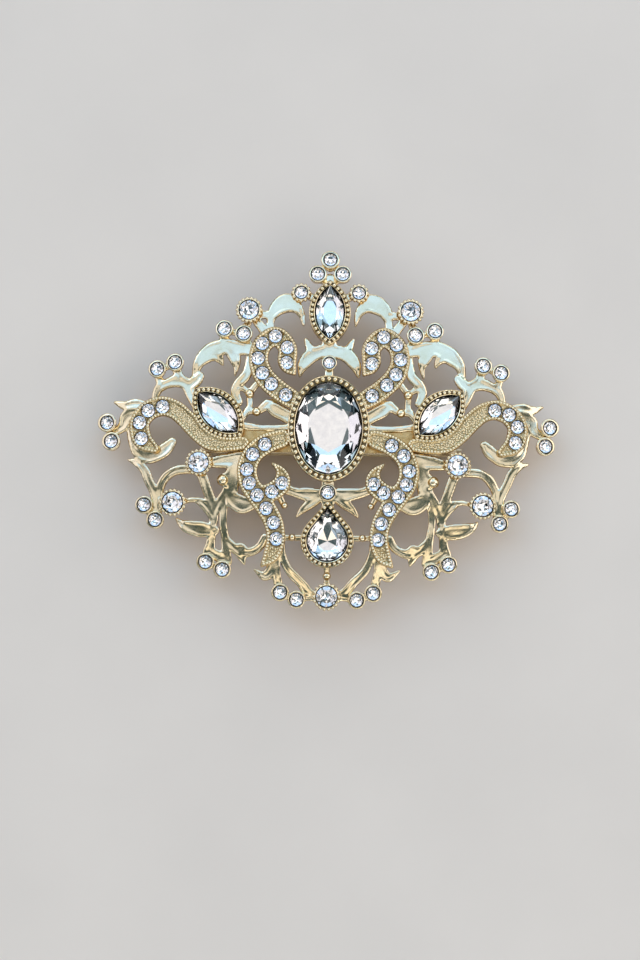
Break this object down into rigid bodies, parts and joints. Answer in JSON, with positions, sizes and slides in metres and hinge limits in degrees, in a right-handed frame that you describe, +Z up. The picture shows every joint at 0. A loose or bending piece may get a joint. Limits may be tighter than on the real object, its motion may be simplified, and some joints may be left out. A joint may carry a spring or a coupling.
{
  "type": "rhinestone hair clip",
  "caption": "Domed openwork ornament in pale gold with bezel-set and pave crystals, riveted to a hinged spring barrette that clasps a lock of hair.",
  "frame": {"origin": "Middle of the ornament's outline, seen from its face, on the surface that the closed clip lies on.", "axes": "+X along the barrette from its hinge to its catch, +Y across the ornament towards its trefoil, +Z up through the face."},
  "size_m": [0.0928, 0.0725, 0.0154],
  "materials": {
    "polished_gold": "polished pale champagne-gold plating over cast zinc alloy",
    "grained_gold": "pale gold plating over a granulated, beaded surface",
    "clip_metal": "satin gold plating over stamped spring steel",
    "crystal": "clear faceted glass with a mirror foil back"
  },
  "bodies": {
    "clasp": {"clasp_arm": "clip_metal"},
    "ornament": {"filigree_plate": "polished_gold", "center_bezel": "grained_gold", "pave_scroll_upper_left": "grained_gold", "pave_scroll_lower_left": "grained_gold", "side_scroll_left": "grained_gold", "pave_scroll_upper_right": "grained_gold", "pave_scroll_lower_right": "grained_gold", "side_scroll_right": "grained_gold", "oval_stone": "crystal", "marquise_stone_top": "crystal", "pear_stone": "crystal", "marquise_stone_left": "crystal", "marquise_stone_right": "crystal", "stone_trefoil_top": "crystal", "stone_trefoil_left": "crystal", "stone_trefoil_right": "crystal", "stone_crown_left": "crystal", "stone_crown_right": "crystal", "stone_shoulder_left": "crystal", "stone_shoulder_right": "crystal", "stone_shoulder_outer_left": "crystal", "stone_shoulder_outer_right": "crystal", "stone_shoulder_inner_left": "crystal", "stone_shoulder_inner_right": "crystal", "stone_wing_outer_left": "crystal", "stone_wing_outer_right": "crystal", "stone_wing_inner_left": "crystal", "stone_wing_inner_right": "crystal", "stone_tip_upper_left": "crystal", "stone_tip_upper_right": "crystal", "stone_tip_lower_left": "crystal", "stone_tip_lower_right": "crystal", "stone_branch_inner_left": "crystal", "stone_branch_inner_right": "crystal", "stone_branch_outer_left": "crystal", "stone_branch_outer_right": "crystal", "stone_branch_tip_upper_left": "crystal", "stone_branch_tip_upper_right": "crystal", "stone_branch_tip_lower_left": "crystal", "stone_branch_tip_lower_right": "crystal", "stone_loop_outer_left": "crystal", "stone_loop_outer_right": "crystal", "stone_loop_inner_left": "crystal", "stone_loop_inner_right": "crystal", "stone_foot_outer_left": "crystal", "stone_foot_outer_right": "crystal", "stone_foot_inner_left": "crystal", "stone_foot_inner_right": "crystal", "stone_foot_middle": "crystal", "stone_neck_upper": "crystal", "stone_neck_lower": "crystal", "clip_base": "clip_metal", "hinge_pin": "clip_metal", "clip_rivet_left": "clip_metal", "clip_rivet_right": "clip_metal"},
    "tension_spring": {"tension_bar": "clip_metal"},
    "catch_front": {"catch_prong_front": "clip_metal"},
    "catch_rear": {"catch_prong_rear": "clip_metal"}
  },
  "joints": [
    {"name": "clasp_open", "type": "hinge", "parent": "clasp", "child": "ornament", "pos_m": [-0.024, -0.0022, 0.0036], "axis": [0, -1, 0], "range_deg": [0, 75]},
    {"name": "tension_flex", "type": "slide", "parent": "ornament", "child": "tension_spring", "axis": [0, 0, 1], "range_m": [0, 0.001], "stiffness_N_per_m": 300},
    {"name": "catch_squeeze_front", "type": "hinge", "parent": "ornament", "child": "catch_front", "pos_m": [0.0225, -0.0032, 0.0063], "axis": [1, 0, 0], "range_deg": [0, 5], "stiffness_Nm_per_rad": 0.002},
    {"name": "catch_squeeze_rear", "type": "hinge", "parent": "ornament", "child": "catch_rear", "pos_m": [0.0225, -0.0012, 0.0063], "axis": [1, 0, 0], "range_deg": [-5, 0], "stiffness_Nm_per_rad": 0.002}
  ],
  "couplings": [
    {"joint": "catch_squeeze_rear", "follows": "catch_squeeze_front", "ratio": -1}
  ]
}
